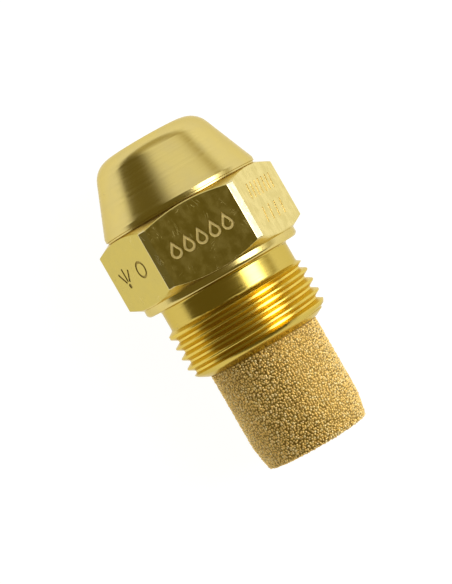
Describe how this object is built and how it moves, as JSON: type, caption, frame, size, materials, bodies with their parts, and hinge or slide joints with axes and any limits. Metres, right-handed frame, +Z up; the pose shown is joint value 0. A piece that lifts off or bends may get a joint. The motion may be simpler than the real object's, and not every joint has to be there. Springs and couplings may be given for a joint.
{
  "type": "oil burner nozzle",
  "caption": "Brass pressure-atomising nozzle with a conical nose, wrench hexagon, threaded shank with a rounded sealing seat, and a sintered bronze filter cup.",
  "frame": {"origin": "on the nozzle's axis, in the plane of the shoulder behind the wrench hexagon", "axes": "+X along the axis, the way the oil sprays; +Z up, square to a flat of the hexagon; the nozzle lies on the opposite flat"},
  "size_m": [0.0323, 0.018, 0.016],
  "materials": {
    "body_brass": "turned and drawn brass, bright, finely scratched",
    "inner_brass": "turned brass",
    "steel": "hardened stainless steel, ground",
    "sintered_bronze": "sintered bronze grains, matt, porous"
  },
  "bodies": {
    "nozzle": {"nozzle_body": "body_brass", "orifice_disc": "steel"},
    "filter": {"sintered_filter": "sintered_bronze"},
    "stem": {"filter_stem": "inner_brass"},
    "cone": {"swirl_cone": "steel"},
    "screw": {"lock_screw": "inner_brass"}
  },
  "joints": [
    {"name": "filter_slide", "type": "slide", "parent": "nozzle", "child": "filter", "axis": [-1, 0, 0], "range_m": [0, 0.016]},
    {"name": "filter_turn", "type": "hinge", "parent": "filter", "child": "stem", "pos_m": [-0.00525, 0, 0], "axis": [-1, 0, 0], "range_deg": [0, 5760]},
    {"name": "cone_slide", "type": "slide", "parent": "nozzle", "child": "cone", "axis": [-1, 0, 0], "range_m": [0, 0.014]},
    {"name": "lock_turn", "type": "hinge", "parent": "cone", "child": "screw", "pos_m": [0.00325, 0, 0], "axis": [-1, 0, 0], "range_deg": [0, 5040]}
  ],
  "couplings": [
    {"joint": "filter_turn", "follows": "filter_slide", "rad_per_m": 6283.2},
    {"joint": "cone_slide", "follows": "filter_slide", "ratio": 0.875},
    {"joint": "lock_turn", "follows": "filter_slide", "rad_per_m": 5497.8}
  ]
}
